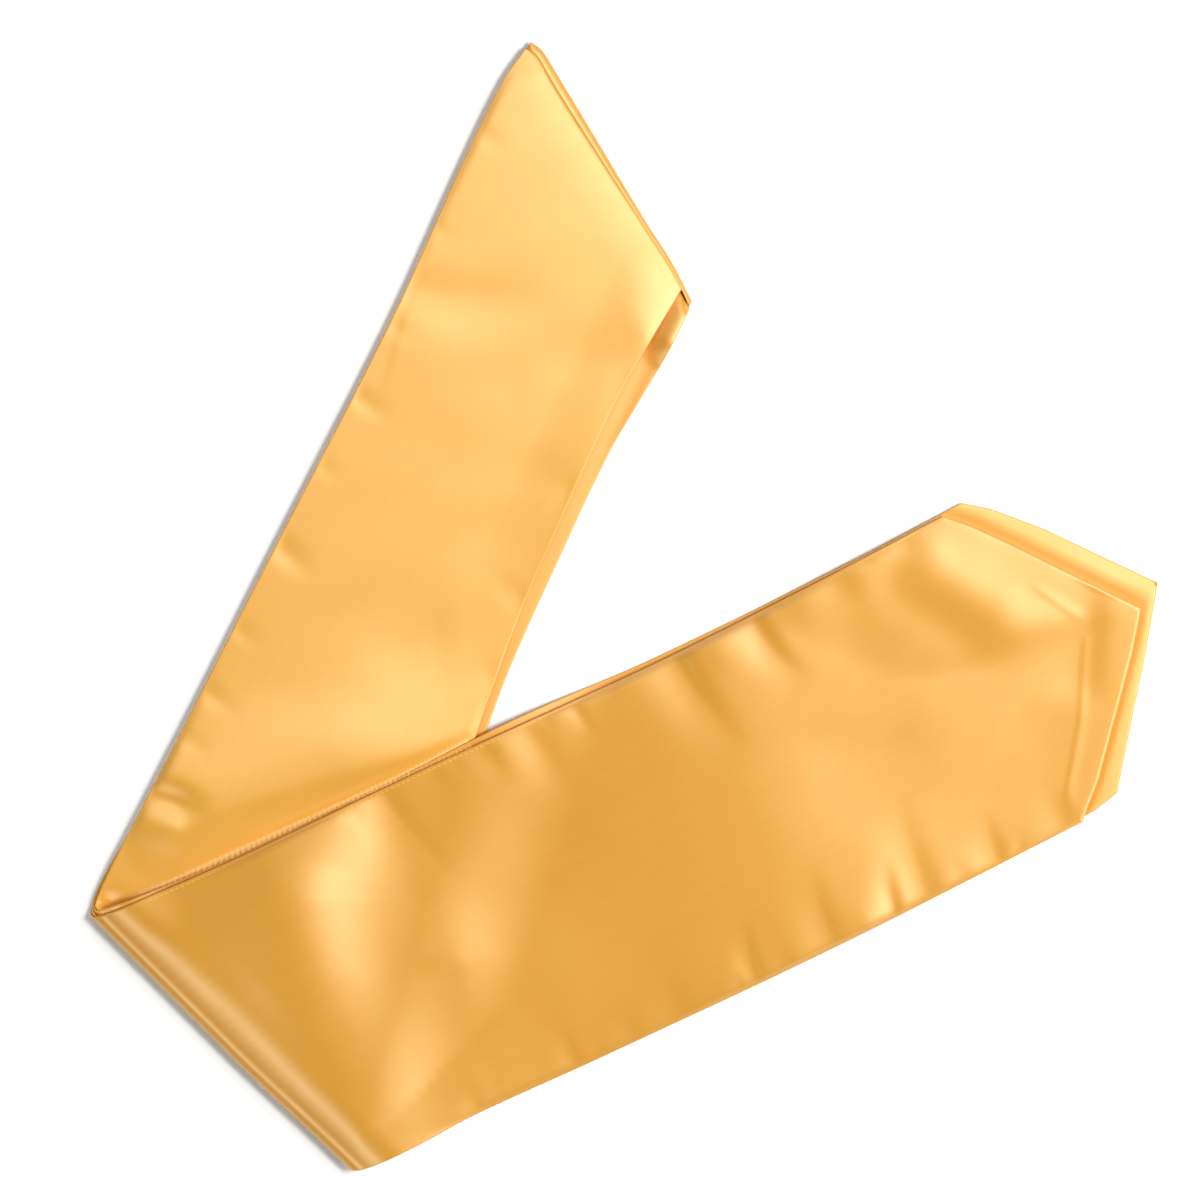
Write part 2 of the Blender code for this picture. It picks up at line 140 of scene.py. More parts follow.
# A smooth curve through the rows, level past both ends
def curveThrough(rows, at):
    xs, ys = np.array(rows, float).T
    at = np.clip(at, xs[0], xs[-1])
    i = np.clip(np.searchsorted(xs, at, side="right") - 1, 0, len(xs) - 2)
    secant = np.diff(ys) / np.diff(xs)
    centred = (ys[2:] - ys[:-2]) / (xs[2:] - xs[:-2])
    slopeIn = np.concatenate([secant[:1], centred])
    slopeOut = np.concatenate([centred, secant[-1:]])
    span = xs[i + 1] - xs[i]
    t = (at - xs[i]) / span
    value = ys[i] * (1 + 2 * t) * (1 - t) ** 2 + slopeIn[i] * span * t * (1 - t) ** 2
    return value + ys[i + 1] * t * t * (3 - 2 * t) + slopeOut[i] * span * t * t * (t - 1)


def straightThrough(rows, at):
    xs, ys = np.array(rows, float).T
    return np.interp(at, xs, ys)


# Distance past the nose line, and along that line, of a point on a flat strap
def foldPlane(along, across):
    a = along - foldAlong
    c = across - foldAcross
    return a * math.cos(lean) - c * math.sin(lean), a * math.sin(lean) + c * math.cos(lean)


# Height of the fold's inner face in the front limb
def topHeight(back, sideways):
    start = noseRadius - loopRadius * math.sin(turnAngle)
    rising = math.tan(math.pi - turnAngle)
    x = np.clip(back - start, 0, riseLength)
    crest = noseRadius - loopRadius * math.cos(turnAngle) + rising * riseLength / 2
    height = crest - rising * (riseLength - x) ** 2 / (2 * riseLength)
    middle = backSlopeMiddle - backSlopeShift * (sideways - frontLimbEdge)
    height = height - (crest - restHeight) * ramp(back, middle - backSlopeHalf, middle + backSlopeHalf)
    neckEdge = neckEdgeBack - neckEdgeSlant * (sideways - neckEdgeAt)
    drape = np.maximum(neckEdge, 0) + drapeStart
    return height - restHeight * ramp(back, drape, drape + drapeLength)


# Folds flat points up and over, and gives their places as rows of x, y and z
def bend(along, across, depth, lift, turn):
    u, sideways = foldPlane(along, across)
    past = u + noseRadius
    angle = turnAngle * np.clip(past / turn, 0, 1)
    radius = loopRadius + depth
    back = noseRadius - loopRadius * math.sin(turnAngle) + np.maximum(past - turn, 0)
    top = topHeight(back, sideways)
    tilt = (topHeight(back + slopeStep, sideways) - top) / slopeStep
    outward = np.where(past <= 0, u, radius * np.sin(angle) - noseRadius)
    height = np.where(past <= 0, stack - depth, noseRadius - radius * np.cos(angle))
    outward = np.where(past > turn, depth * tilt / np.hypot(tilt, 1) - back, outward)
    height = np.where(past > turn, top + depth / np.hypot(tilt, 1), height)
    recess = noseRecess * ramp(sideways, recessStart, recessEnd)
    outward = outward - recess * (1 - ramp(-outward, 0, recessReach))
    flat = noseCentre + outward[..., None] * outwardWay + sideways[..., None] * foldLineWay
    return np.concatenate([flat, (height + lift)[..., None]], axis=-1)


# The open neck corner: the right strap lifts beside it, and the left strap's rim curls up and stands
openCorner = {
    "lift": 2.6,
    "liftReach": 36.0,
    "liftEnds": (130.0, 240.0),
    "liftAcross": (78.0, 108.0),
    "curl": 1.3,
    "curlReach": 30.0,
    "curlEnds": (120.0, 180.0),
    "curlAcross": (110.0, 116.0),
    "stand": 5.0,
    "standReach": 8.0,
    "standEnds": (92.0, 106.0),
    "standAcross": (105.0, 115.5),
}


def mouthLifting(along, across):
    pastSeam = along - curveThrough(seamLine, across)
    beside = ramp(pastSeam, 0, openCorner["liftReach"]) * (1 - ramp(along, *openCorner["liftEnds"]))
    return openCorner["lift"] * beside * ramp(across, *openCorner["liftAcross"])


def rimCurling(along, across):
    pastSeam = along - curveThrough(seamLine, across)
    beside = ramp(pastSeam, 0, openCorner["curlReach"]) * (1 - ramp(along, *openCorner["curlEnds"]))
    upright = ramp(pastSeam, 0, openCorner["standReach"]) * (1 - ramp(along, *openCorner["standEnds"]))
    curl = openCorner["curl"] * beside * ramp(across, *openCorner["curlAcross"])
    return curl + openCorner["stand"] * upright * ramp(across, *openCorner["standAcross"])


# Both straps arch up a little before the right strap's tip and slope down to it. The first of two values
# is for the outer side of the strap, the second for the inner side.
overTip = {
    "heights": (3.1, 0.5),
    "crests": (44.0, 11.0),
    "rise": 46.0,
    "between": (56.0, 86.0),
    "press": 0.9,
    "pressReach": 5.0,
    "pressStart": -2.0,
}


def tipArching(strap, along, across):
    toTip = (straightThrough(right.tip, across) - along + strap.turn - right.turn) * tipCosine
    low = ramp(across, *overTip["between"])
    height = overTip["heights"][0] + (overTip["heights"][1] - overTip["heights"][0]) * low
    crest = overTip["crests"][0] + (overTip["crests"][1] - overTip["crests"][0]) * low
    down = np.sin(math.pi / 2 * np.clip(toTip / crest, 0, 1))
    return height * down * (1 - ramp((toTip - crest) / overTip["rise"], 0, 1))


# The right strap's lining is pressed down along the other strap's point
def tipPressing(along, across):
    pastPoint = (along + left.turn - right.turn - straightThrough(left.tip, across)) * tipCosine
    return -overTip["press"] * (1 - ramp(pastPoint, overTip["pressStart"], overTip["pressReach"]))


# The loop settles under its own weight, and the front limb's upper edge hangs down behind the fold
settling = {
    "nose": 3.0,
    "noseReach": 15.0,
    "droopShare": 0.7,
    "droopClearance": 1.0,
    "droopStart": 30.0,
    "droopAcross": (2.0, 28.0),
}


def noseSettling(strap, along, across):
    past = foldPlane(along, across)[0] + noseRadius
    turned = (1 - np.cos(math.pi * np.clip(past / strap.turn, 0, 1))) / 2
    behind = np.clip((past - strap.turn) / settling["noseReach"], 0, 1)
    return -settling["nose"] * turned * (1 - behind) ** 2


def edgeDrooping(strap, along, across):
    u, sideways = foldPlane(along, across)
    past = u + noseRadius - strap.turn
    back = noseRadius - loopRadius * math.sin(turnAngle) + np.maximum(past, 0)
    clear = np.maximum(topHeight(back, sideways) - restHeight - settling["droopClearance"], 0)
    upper = 1 - ramp(across, *settling["droopAcross"])
    return -settling["droopShare"] * clear * ramp(past, 0, settling["droopStart"]) * upper


# How far both panels of a strap stand off its plain folded form
def strapForm(strap, along, across):
    settled = noseSettling(strap, along, across) + edgeDrooping(strap, along, across)
    return tipArching(strap, along, across) + settled


def rightForm(along, across):
    return mouthLifting(along, across) + strapForm(right, along, across)


def leftForm(along, across):
    return rimCurling(along, across) + strapForm(left, along, across)


# Creases. A path runs over the flat strap as (along, across). Height is the crest's, or negative for a
# trough. Widths are to the path's left and right, seen along it. Fades are the shares of the path over
# which the crease comes in and dies out.
Crease = namedtuple("Crease", "height widths fades path")

frontCreases = (
    # The crest behind the nose, and the slope down from it
    Crease(
        2.7, (34, 28), (0.1, 0.5),
        ((600, -50), (556, -10), (536, 10), (523, 36), (518, 56), (517, 76), (519, 105), (524, 150)),
    ),
    Crease(1.7, (28, 30), (0.35, 0.4), ((548, -4), (528, 26), (519, 56), (517, 76), (518, 100))),
    Crease(2.0, (22, 52), (0.4, 0.1), ((598, 58), (562, 162))),
    Crease(-1.3, (22, 5.5), (0.0, 0.9), ((585, -8), (587, 10), (592, 34), (600, 60))),
    Crease(-1.2, (26, 16), (0.0, 0.9), ((590, -12), (597, 58))),
    Crease(-0.5, (16, 18), (0.2, 0.5), ((580, 80), (568, 108), (560, 140))),
    # The softer drape after it, and the flat stretch before the tip
    Crease(-1.3, (26, 46), (0.4, 0.5), ((612, -30), (606, 84))),
    Crease(4.4, (92, 66), (0.2, 0.1), ((752, -40), (744, 20), (736, 60), (734, 100), (738, 180))),
    # Valleys from the stitched top edge
    Crease(-0.3, (5, 4), (0.0, 0.9), ((569, 1), (571, 14))),
    Crease(-0.5, (7, 4), (0.0, 0.9), ((611, -2), (613, 22))),
    Crease(-0.25, (3, 2.4), (0.0, 0.9), ((621, 0), (622, 12))),
    Crease(-0.8, (8, 4), (0.0, 0.9), ((635, -2), (639, 26))),
    Crease(-1.0, (10, 7), (0.0, 0.9), ((657, -2), (661, 46))),
    Crease(-0.3, (3, 3), (0.0, 0.9), ((666, 1), (667, 15))),
    Crease(-0.5, (4, 2.6), (0.0, 0.9), ((680, 0), (684, 26))),
    Crease(-0.25, (4, 4), (0.0, 0.9), ((697, 1), (699, 14))),
    Crease(-2.2, (14, 6), (0.0, 0.9), ((730, -4), (733, 26), (740, 64))),
    Crease(0.4, (6, 8), (0.0, 0.9), ((748, -2), (753, 30))),
    Crease(-1.6, (10, 4.5), (0.0, 0.9), ((769, -4), (772, 22), (780, 46))),
    Crease(0.4, (8, 10), (0.0, 0.9), ((792, -2), (798, 34))),
    Crease(-0.7, (9, 7), (0.0, 0.9), ((810, -2), (816, 32))),
    Crease(-0.25, (4, 4), (0.0, 0.9), ((827, 0), (828, 12))),
    Crease(-0.4, (8, 6), (0.0, 0.9), ((845, -2), (851, 24))),
    # Valleys from the bottom edge
    Crease(-0.3, (4, 6), (0.0, 0.9), ((561, 153), (563, 134))),
    Crease(-0.5, (3.4, 6), (0.0, 0.9), ((610, 156), (612, 126))),
    Crease(-0.2, (3, 4), (0.0, 0.9), ((622, 154), (623, 143))),
    Crease(-0.4, (3.6, 6), (0.0, 0.9), ((638, 156), (641, 136))),
    Crease(-0.5, (6, 9), (0.0, 0.9), ((661, 156), (664, 122))),
    Crease(-0.3, (3, 4), (0.0, 0.9), ((691, 155), (693, 142))),
    Crease(-1.0, (3, 7), (0.0, 0.9), ((700, 157), (702, 141), (708, 120))),
    Crease(-0.3, (4, 5), (0.0, 0.9), ((714, 155), (716, 140))),
    Crease(-0.9, (5, 12), (0.0, 0.9), ((738, 158), (739, 138), (743, 112))),
    Crease(0.3, (5, 8), (0.0, 0.9), ((755, 158), (757, 132))),
    Crease(-0.8, (3.4, 6), (0.0, 0.9), ((768, 158), (772, 140), (776, 126))),
    Crease(-0.9, (7, 12), (0.0, 0.9), ((784, 158), (787, 134), (793, 96))),
    Crease(-0.25, (4, 5), (0.0, 0.9), ((803, 156), (804, 142))),
    Crease(-0.7, (4, 10), (0.0, 0.9), ((821, 158), (824, 126))),
    Crease(-0.3, (3, 4), (0.0, 0.9), ((832, 156), (834, 144))),
    Crease(-0.5, (6, 9), (0.0, 0.9), ((855, 156), (855, 124))),
    # Broad, faint undulations of the open part
    Crease(-0.6, (22, 30), (0.3, 0.4), ((790, 60), (776, 96), (780, 128))),
    Crease(0.6, (24, 28), (0.3, 0.4), ((812, 26), (826, 72), (816, 120))),
    Crease(-0.8, (12, 12), (0.2, 0.4), ((828, 6), (838, 30), (850, 52), (866, 76))),
    Crease(0.8, (12, 12), (0.2, 0.3), ((846, 4), (856, 26), (868, 46), (884, 68))),
    # The turned seam allowance shows through inside the tip
    Crease(-1.0, (18, 8), (0.25, 0.3), ((914, 54), (904, 74), (884, 110))),
    Crease(0.18, (1.0, 3.0), (0.1, 0.1), ((904, 74), (882, 112), (862, 139), (862, 150))),
    Crease(0.12, (3.0, 1.0), (0.2, 0.3), ((904, 74), (888, 44))),
)

neckCreases = (
    Crease(1.1, (26, 60), (0.1, 0.3), ((16, -10), (96, 120))),
    Crease(-0.5, (10, 12), (0.0, 0.6), ((123, -4), (118, 20), (106, 44), (98, 70))),
    Crease(0.4, (16, 20), (0.1, 0.6), ((146, 2), (142, 30), (130, 60))),
    Crease(-0.4, (14, 16), (0.3, 0.5), ((104, 116), (112, 92), (132, 60))),
    Crease(-0.4, (18, 14), (0.3, 0.5), ((160, 116), (178, 88), (214, 78), (244, 60))),
    Crease(-0.3, (20, 20), (0.3, 0.5), ((250, 90), (262, 70), (290, 60))),
    # Puckers from the two long edges
    Crease(-0.25, (5, 4), (0.0, 0.9), ((45, -5), (48, 14))),
    Crease(-0.2, (4, 4), (0.0, 0.9), ((92, -4), (95, 10))),
    Crease(-0.25, (5, 4), (0.0, 0.9), ((140, -3), (143, 16))),
    Crease(-0.35, (5, 4), (0.0, 0.9), ((176, -4), (180, 22))),
    Crease(-0.2, (5, 4), (0.0, 0.9), ((211, -4), (213, 12))),
    Crease(-0.5, (6, 5), (0.0, 0.9), ((252, -5), (258, 22))),
    Crease(-0.25, (5, 4), (0.0, 0.9), ((294, -5), (297, 14))),
    Crease(-0.35, (5, 4), (0.0, 0.9), ((325, -6), (329, 18))),
    Crease(-0.3, (5, 4), (0.0, 0.9), ((348, -6), (350, 15))),
    Crease(-2.9, (6.5, 9), (0.0, 0.7), ((378, -8), (376, 8), (375, 27))),
    Crease(-0.2, (6, 6), (0.0, 0.9), ((170, 109), (174, 90))),
    Crease(-0.25, (6, 6), (0.0, 0.9), ((226, 111), (222, 86))),
    Crease(-0.2, (6, 6), (0.0, 0.9), ((262, 115), (264, 98))),
    # The cloth rises towards the front limb and dips in the corner beside it
    Crease(4.4, (32, 15), (0.15, 0.45), ((404, -8), (270, 128))),
    Crease(-3.6, (6, 8), (0.0, 0.6), ((436, -9), (432, 3), (426, 15))),
)

# Creases of the sides that lie underneath
underNeckCreases = (
    Crease(0.7, (5, 4), (0.0, 0.9), ((70, -3), (76, 22))),
    Crease(0.9, (6, 4), (0.0, 0.9), ((131, -2), (138, 30))),
    Crease(0.5, (4, 4), (0.0, 0.9), ((188, -2), (190, 16))),
    Crease(0.9, (6, 5), (0.0, 0.9), ((236, -3), (246, 34))),
    Crease(0.6, (4, 3), (0.0, 0.9), ((305, -3), (308, 18))),
    Crease(0.8, (6, 4), (0.0, 0.9), ((360, -4), (362, 26))),
    Crease(0.6, (5, 5), (0.0, 0.9), ((160, 113), (154, 90))),
    Crease(0.9, (6, 5), (0.0, 0.9), ((214, 114), (208, 82))),
    Crease(0.7, (5, 4), (0.0, 0.9), ((282, 118), (280, 96))),
    Crease(0.8, (6, 5), (0.0, 0.9), ((352, 128), (344, 98))),
)
underFrontCreases = (
    Crease(0.8, (5, 4), (0.0, 0.9), ((596, 2), (600, 26))),
    Crease(1.0, (7, 4), (0.0, 0.9), ((668, 3), (676, 40))),
    Crease(0.7, (4, 3), (0.0, 0.9), ((712, 4), (714, 24))),
    Crease(1.0, (8, 5), (0.0, 0.9), ((764, 4), (772, 46))),
    Crease(0.7, (5, 4), (0.0, 0.9), ((832, 4), (838, 26))),
    Crease(0.8, (6, 4), (0.0, 0.9), ((640, 152), (644, 122))),
    Crease(0.6, (4, 3), (0.0, 0.9), ((692, 154), (694, 134))),
    Crease(1.0, (7, 5), (0.0, 0.9), ((746, 154), (752, 116))),
    Crease(0.8, (5, 4), (0.0, 0.9), ((812, 154), (816, 128))),
)


# Sum of all the creases at the flat points
def creased(creases, along, across):
    total = np.zeros(np.shape(along))
    for crease in creases:
        path = np.array(crease.path, float)
        lengths = np.hypot(*np.diff(path, axis=0).T)
        walked = np.concatenate([[0], np.cumsum(lengths)])
        nearest = np.full(np.shape(along), np.inf)
        place = np.zeros(np.shape(along))
        side = np.zeros(np.shape(along))
        for i, length in enumerate(lengths):
            wayAlong, wayAcross = (path[i + 1] - path[i]) / length
            a = along - path[i, 0]
            c = across - path[i, 1]
            t = np.clip(a * wayAlong + c * wayAcross, 0, length)
            distance = np.hypot(a - t * wayAlong, c - t * wayAcross)
            closer = distance < nearest
            nearest = np.where(closer, distance, nearest)
            place = np.where(closer, walked[i] + t, place)
            side = np.where(closer, wayAlong * c - wayAcross * a, side)
        share = place / walked[-1]
        fadeIn, fadeOut = crease.fades
        strength = 1 - ramp(share, 1 - fadeOut, 1)
        if fadeIn:
            strength = strength * ramp(share, 0, fadeIn)
        width = np.where(side > 0, crease.widths[0], crease.widths[1])
        total += crease.height * strength * np.exp(-((nearest / width) ** 2))
    return total


# Faint waves of the cloth: a sum of long ripples whose directions lie about the slant, in degrees
rippleSpread = 28
rippleBow = 3.0
bowLengths = (30, 60)


def ripple(along, across, seed, count, shortest, longest, slant):
    dice = np.random.default_rng(seed)
    total = np.zeros(np.shape(along))
    for _ in range(count):
        turn = math.radians(slant + dice.normal(0, rippleSpread))
        length = dice.uniform(shortest, longest)
        phase = dice.uniform(0, 2 * math.pi)
        place = along * math.cos(turn) + across * math.sin(turn)
        sideways = along * math.sin(turn) - across * math.cos(turn)
        bow = rippleBow * np.sin(sideways / dice.uniform(*bowLengths))
        total += np.sin(2 * math.pi * (place + bow) / length + phase) * length
    return total / (count * longest)


# Rows and columns of the sheets
fineRim = (0.0, 0.12, 0.35, 0.7, 1.0, 1.3, 1.65, 2.4)
flatWidth = 150.0
slantRounds = 10
loopRows = 25


# Columns as shares of the width: fine ones close to both edges, even ones between
def columnShares(step):
    border = np.array(fineRim)
    count = max(2, round((flatWidth - 2 * border[-1]) / step))
    middle = np.linspace(border[-1], flatWidth - border[-1], count + 1)
    return np.concatenate([border[:-1], middle, flatWidth - border[-2::-1]]) / flatWidth


# Flat points of rows that turn from the seam's slant to the fold's and then to the tip's
def rowPoints(strap, shares, start, middles):
    share = shares[None, :]
    middle = middles[:, None]
    seamMiddle = start(foldAcross)
    tipMiddle = straightThrough(strap.tip, foldAcross)
    loopStart = foldAlong - foldBefore
    loopEnd = foldAlong + foldAfter
    toFold = np.minimum(1.0, (middle - seamMiddle) / (loopStart - seamMiddle))
    toTip = np.maximum(0.0, (middle - loopEnd) / (tipMiddle - loopEnd))
    along = middle + 0 * share
    across = foldAcross + 0 * along
    for _ in range(slantRounds):
        low = curveThrough(strap.outer, along)
        high = curveThrough(strap.inner, along)
        across = low + (high - low) * share
        across = across + (strap.tipAcross - (low + high) / 2) * 4 * share * (1 - share) * toTip
        seam = start(across) - seamMiddle
        fold = math.tan(lean) * (across - foldAcross)
        tip = straightThrough(strap.tip, across) - tipMiddle
        along = middle + (1 - toFold) * seam + toFold * (1 - toTip) * fold + toTip * tip
    return along, across


def faceStart(across):
    return curveThrough(seamLine, across) + curveThrough(lipWidth, across) / seamCosine


def innerStart(across):
    return curveThrough(seamLine, across) + liningInset / seamCosine


# Middle lines of a panel's rows, from the neck seam round the nose to the tip
def panelRows(strap, start, neckStep, frontStep):
    loop = foldAlong + (strap.turn * np.linspace(0, 1, loopRows) - noseRadius) / math.cos(lean)
    seam = start(foldAcross)
    tip = straightThrough(strap.tip, foldAcross)
    neck = np.arange(loop[0] - neckStep, seam + fineRim[-1], -neckStep)[::-1]
    front = np.arange(loop[-1] + frontStep, tip - fineRim[-1], frontStep)
    return np.concatenate([seam + np.array(fineRim), neck, loop, front, tip - np.array(fineRim[::-1])])


# Distance in from the strap's two long edges
def sideInset(strap, along, across):
    low = across - curveThrough(strap.outer, along)
    high = curveThrough(strap.inner, along) - across
    return np.maximum(np.minimum(low, high), 0)


# Distance in from the strap's sewn edges
def inset(strap, along, across):
    toTip = (straightThrough(strap.tip, across) - along) * tipCosine
    return np.minimum(sideInset(strap, along, across), np.maximum(toTip, 0))


# Depth of a panel that turns in towards its partner at the sewn edges
def rolled(strap, depth, inside, roll=rimRoll):
    share = np.minimum(inside / roll, 1)
    offset = depth - strap.seamDepth
    rim = math.copysign(edgeOffset, offset)
    return strap.seamDepth + rim + (offset - rim) * np.sqrt(1 - (1 - share) ** 2)


# A grid through the points, with the flat strap as its UV map, in metres
def sheetMesh(name, points, along, across):
    rows, columns = along.shape
    index = np.arange(rows * columns).reshape(rows, columns)
    corners = np.stack([index[:-1, :-1], index[:-1, 1:], index[1:, 1:], index[1:, :-1]], axis=-1)
    mesh = bpy.data.meshes.new(name)
    mesh.from_pydata((points.reshape(-1, 3) * mm).tolist(), [], corners.reshape(-1, 4).tolist())
    corner = np.empty(len(mesh.loops), dtype=np.int32)
    mesh.loops.foreach_get("vertex_index", corner)
    flat = np.stack([along.ravel()[corner], across.ravel()[corner]], axis=-1) * mm
    mesh.uv_layers.new(name="flat").data.foreach_set("uv", flat.ravel())
    mesh.shade_smooth()
    return mesh


# Gloss spreads round the centre of a mesh's texture space. Far off along the threads, that is across them.
neckThreads = 243.0  # degrees
frontThreads = 25.0
farOff = 50.0  # metres


def addSheet(name, points, along, across, material, threads):
    mesh = sheetMesh(name, points, along, across)
    mesh.materials.append(material)
    mesh.use_auto_texspace = False
    turn = math.radians(threads)
    mesh.texspace_location = (farOff * math.cos(turn), farOff * math.sin(turn), 0)
    mesh.texspace_size = (1, 1, 1)
    sheet = bpy.data.objects.new(name, mesh)
    cloth = sheet.modifiers.new("Cloth", "SOLIDIFY")
    cloth.thickness = clothThickness * mm
    cloth.offset = 0
    cloth.use_rim = True
    bpy.context.scene.collection.objects.link(sheet)
    return sheet


# Materials. A Wire is an output socket that can be used in sums and fed to more nodes
class Wire:
    def __init__(self, tree, socket):
        self.tree = tree
        self.socket = socket

    def feed(self, target, value):
        if isinstance(value, Wire):
            self.tree.links.new(value.socket, target)
        else:
            target.default_value = value

    def node(self, kind, settings, inputs, output=0):
        made = self.tree.nodes.new(kind)
        for name, value in settings.items():
            setattr(made, name, value)
        for name, value in inputs.items():
            self.feed(made.inputs[name], value)
        return Wire(self.tree, made.outputs[output])

    def math(self, operation, *values):
        return self.node("ShaderNodeMath", {"operation": operation}, dict(enumerate(values)))

    def clamped(self, start, end):
        inputs = {"Value": self, "From Min": start, "From Max": end}
        return self.node("ShaderNodeMapRange", {"interpolation_type": "SMOOTHSTEP"}, inputs)

    # Colour between two, with this wire as the factor
    def mix(self, first, second):
        inputs = {0: self, 6: first, 7: second}
        return self.node("ShaderNodeMix", {"data_type": "RGBA"}, inputs, 2)

    # Noise with its own scale on each axis
    def noise(self, scales, detail):
        inputs = {"Vector": self.times(scales), "Scale": 1.0, "Detail": detail}
        return self.node("ShaderNodeTexNoise", {}, inputs)

    def vector(self, operation, *values):
        return self.node("ShaderNodeVectorMath", {"operation": operation}, dict(enumerate(values)))

    # Vector with each of its parts multiplied
    def times(self, values):
        return self.vector("MULTIPLY", self, values)

    def __add__(self, other):
        return self.math("ADD", self, other)

    def __sub__(self, other):
        return self.math("SUBTRACT", self, other)

    def __mul__(self, other):
        return self.math("MULTIPLY", self, other)

    def __rsub__(self, other):
        return self.math("SUBTRACT", other, self)

    __radd__ = __add__
    __rmul__ = __mul__


def newMaterial(name):
    material = bpy.data.materials.new(name)
    material.use_nodes = True
    return material, material.node_tree.nodes["Principled BSDF"]


# Satin: glossy across its threads and duller along them. Each noise has its scales along and across the
# strap, per metre, and its detail.
satin = {
    "clouds": ((14.0, 14.0, 1.0), 3.0),
    "streaks": ((18.0, 900.0, 1.0), 2.0),
    "handled": ((60.0, 38.0, 1.0), 3.0),
    "weave": ((700.0, 2600.0, 1.0), 1.0),
    "cloudShare": 0.55,
    "toneEnds": (0.3, 0.7),
    "roughness": 0.5,
    "roughnessSpread": 0.08,
    "metallic": 0.06,
    "specular": 1.0,
    "ior": 2.0,
    "tint": (1.0, 0.88, 0.62, 1.0),
    "anisotropy": 0.8,
    "relief": 0.00001,
}
# Pale and deep colour of each satin. The front limb shows the same face satin as the neck limb, but its
# colour is painted darker there as painted shade.
satinColours = {
    "neck_satin": ((0.90, 0.415, 0.037, 1), (0.86, 0.385, 0.03, 1)),
    "front_satin_painted_shade": ((0.82, 0.365, 0.028, 1), (0.78, 0.335, 0.021, 1)),
    "lining_satin": ((0.92, 0.41, 0.036, 1), (0.88, 0.38, 0.03, 1)),
}
thread = {"colour": (0.93, 0.5, 0.09, 1), "roughness": 0.45}


def satinMaterial(name):
    pale, deep = satinColours[name]
    material, shader = newMaterial(name)
    flat = Wire(material.node_tree, None).node("ShaderNodeUVMap", {"uv_map": "flat"}, {})
    clouds = flat.noise(*satin["clouds"])
    streaks = flat.noise(*satin["streaks"])
    handled = flat.noise(*satin["handled"])
    weave = flat.noise(*satin["weave"])
    tone = (clouds * satin["cloudShare"] + streaks * (1 - satin["cloudShare"])).clamped(*satin["toneEnds"])
    flat.feed(shader.inputs["Base Color"], tone.mix(deep, pale))
    flat.feed(shader.inputs["Roughness"], (handled - 0.5) * satin["roughnessSpread"] + satin["roughness"])
    shader.inputs["Metallic"].default_value = satin["metallic"]
    shader.inputs["Specular IOR Level"].default_value = satin["specular"]
    shader.inputs["IOR"].default_value = satin["ior"]
    shader.inputs["Specular Tint"].default_value = satin["tint"]
    shader.inputs["Anisotropic"].default_value = satin["anisotropy"]
    relief = handled * satin["relief"] + weave * satin["relief"]
    bumped = flat.node("ShaderNodeBump", {}, {"Strength": 1.0, "Distance": 1.0, "Height": relief})
    flat.feed(shader.inputs["Normal"], bumped)
    return material


neckSatin = satinMaterial("neck_satin")
# The front limb's copy of the face satin, its colour darkened as painted shade
frontSatinPaintedShade = satinMaterial("front_satin_painted_shade")
liningSatin = satinMaterial("lining_satin")
threadMaterial, threadShader = newMaterial("gold_thread")
threadShader.inputs["Base Color"].default_value = thread["colour"]
threadShader.inputs["Roughness"].default_value = thread["roughness"]
print("materials made")


# Where the neck limb lies open, and how its cloth bulges against the front limb's edge
neckLimb = {
    "coverEdge": -67.9,
    "coverSlant": 0.362,
    "coverFrom": -28.5,
    "shownFrom": (-2.0, 8.0),
    "behindNose": (-4.0, 12.0),
    "bulge": 4.4,
    "bulgeMiddle": -0.6,
    "bulgeWidth": 1.5,
    "bulgeReach": 20.0,
}
frontStart = 30.0  # length over which the front limb's own creases come in


def beforeCover(u, sideways):
    return neckLimb["coverEdge"] + neckLimb["coverSlant"] * (neckLimb["coverFrom"] - u) - sideways


# 1 where the neck limb lies open, 0 where the front limb covers it
def neckShown(along, across):
    u, sideways = foldPlane(along, across)
    uncovered = ramp(beforeCover(u, sideways), *neckLimb["shownFrom"])
    return uncovered * ramp(-u, *neckLimb["behindNose"])


def neckBulging(along, across):
    u, sideways = foldPlane(along, across)
    away = (beforeCover(u, sideways) - neckLimb["bulgeMiddle"]) / neckLimb["bulgeWidth"]
    return neckLimb["bulge"] * np.exp(-(away ** 2)) * ramp(-u, 0, neckLimb["bulgeReach"])


# 0 in the neck limb and round the nose, 1 in the front limb
def inFront(strap, along, across):
    past = foldPlane(along, across)[0] + noseRadius - strap.turn
    return ramp(past, 0, frontStart)


# The cloth dips along the neck seam
seamDipDepth = 0.15
seamDipWidth = 0.5


def seamDip(distance):
    return -seamDipDepth * np.exp(-((distance / seamDipWidth) ** 2))


# Rises from 0 at a sewn edge to 1, steeply at first
def softened(inside, width):
    return 1 - (1 - np.minimum(inside / width, 1)) ** 2


rightFaceCloth = {
    "columnStep": 1.95,
    "neckStep": 1.38,
    "frontStep": 3.2,
    "softWidth": 24.0,
    "creaseStart": 3.0,
    "seamRise": 0.3,
    "seamRiseReach": 3.4,
    "rippleHeight": 0.3,
    "ripple": {"seed": 4, "count": 14, "shortest": 14, "longest": 60, "slant": 60},
}


